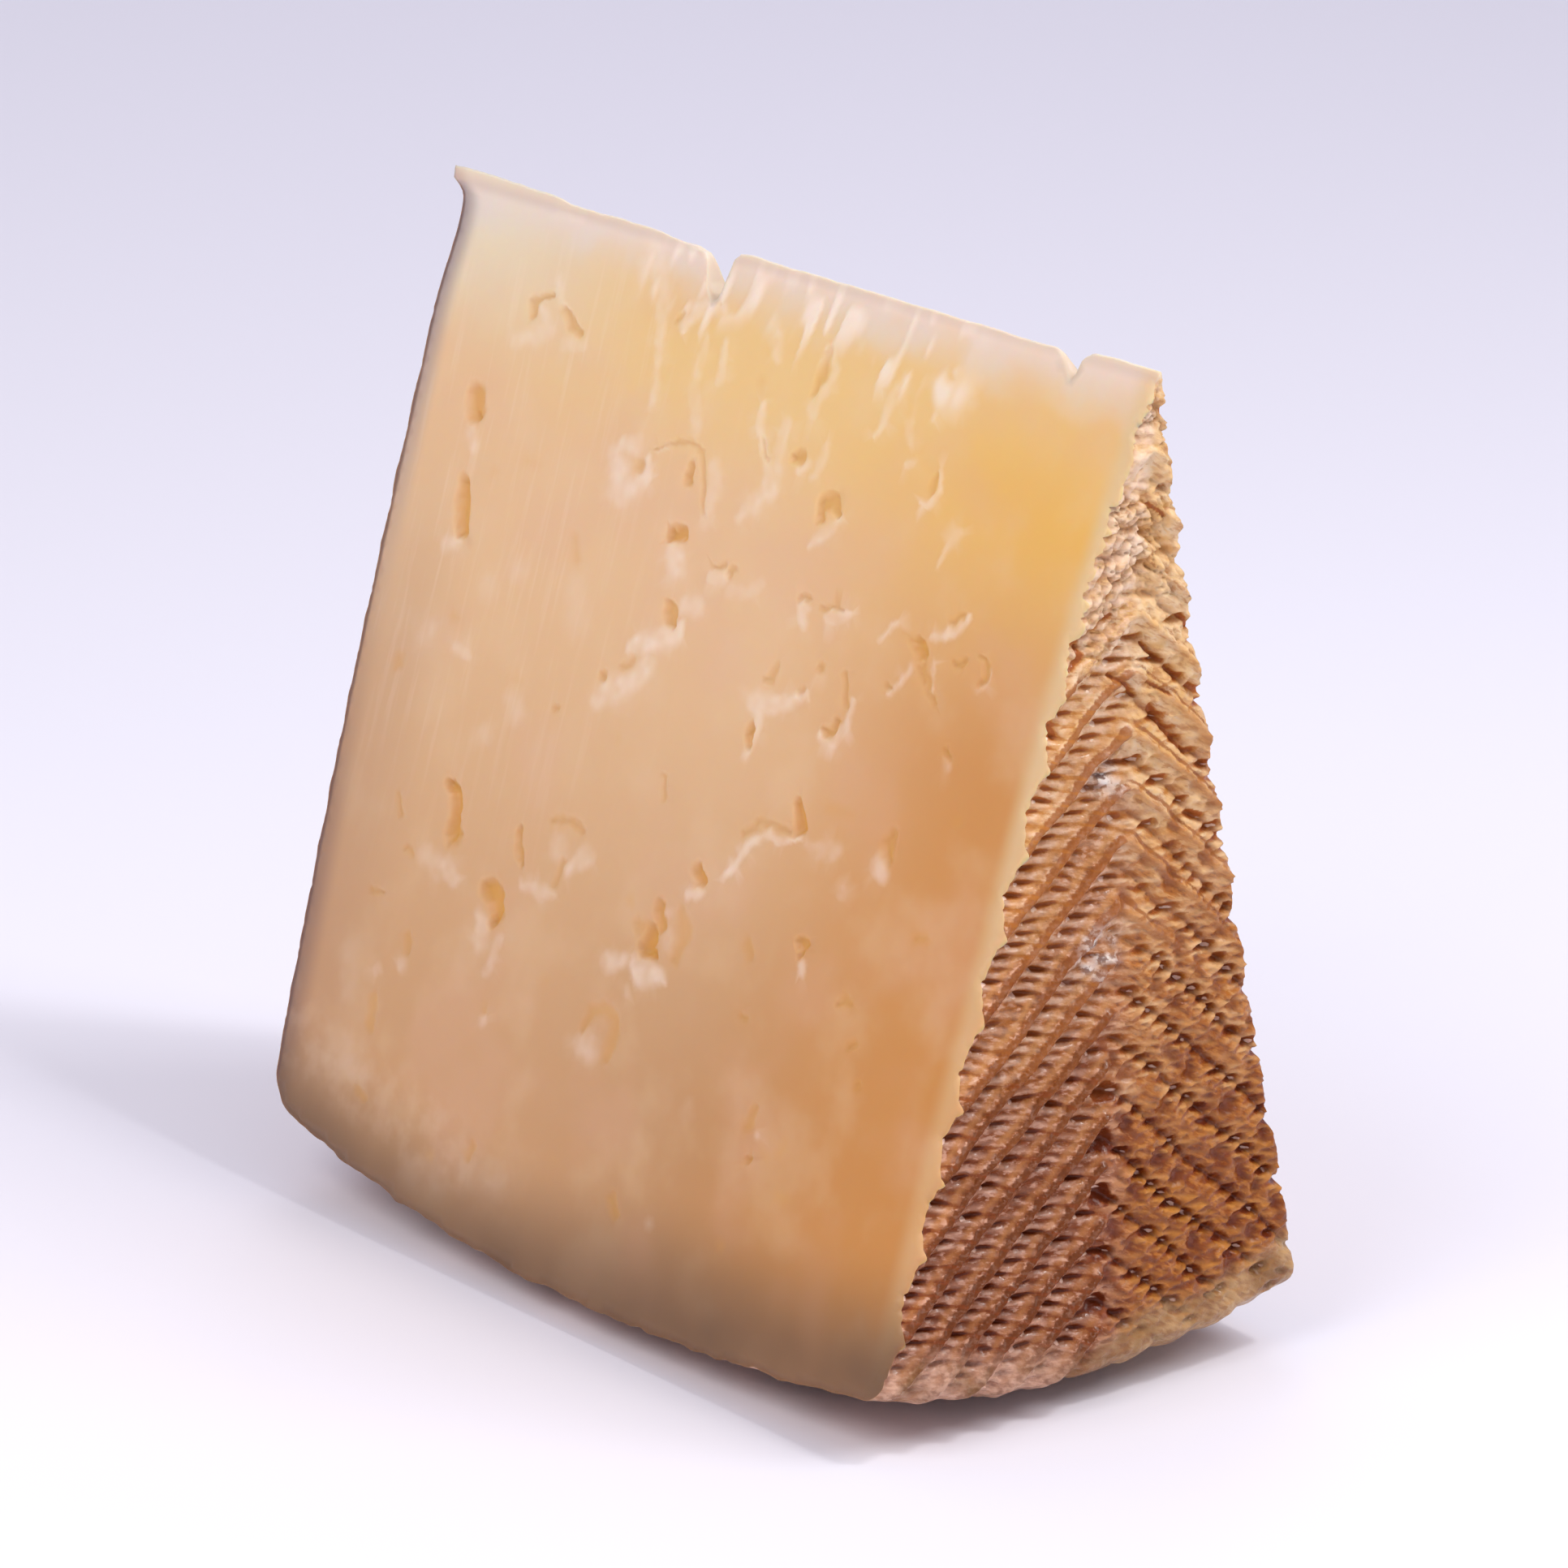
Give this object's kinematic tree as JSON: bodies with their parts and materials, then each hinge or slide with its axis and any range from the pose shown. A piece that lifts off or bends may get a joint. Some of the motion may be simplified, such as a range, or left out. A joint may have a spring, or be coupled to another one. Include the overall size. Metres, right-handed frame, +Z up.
{
  "type": "wedge of aged mixed milk cheese",
  "caption": "Wedge cut from a wheel of aged mixed milk cheese, resting on its curved rind with the thin edge up; eyes on its cut faces and a pressed herringbone rind on one side.",
  "frame": {"origin": "middle of the box's underside, on the flat spot that the curved rind rests on", "axes": "+X along the wheel's axis towards the herringbone rind, +Y away from the front cut, +Z up towards the thin edge"},
  "size_m": [0.1042, 0.0544, 0.1016],
  "materials": {
    "cheese": "matte"
  },
  "bodies": {
    "root": {"cheese_wedge": "cheese"}
  },
  "joints": []
}
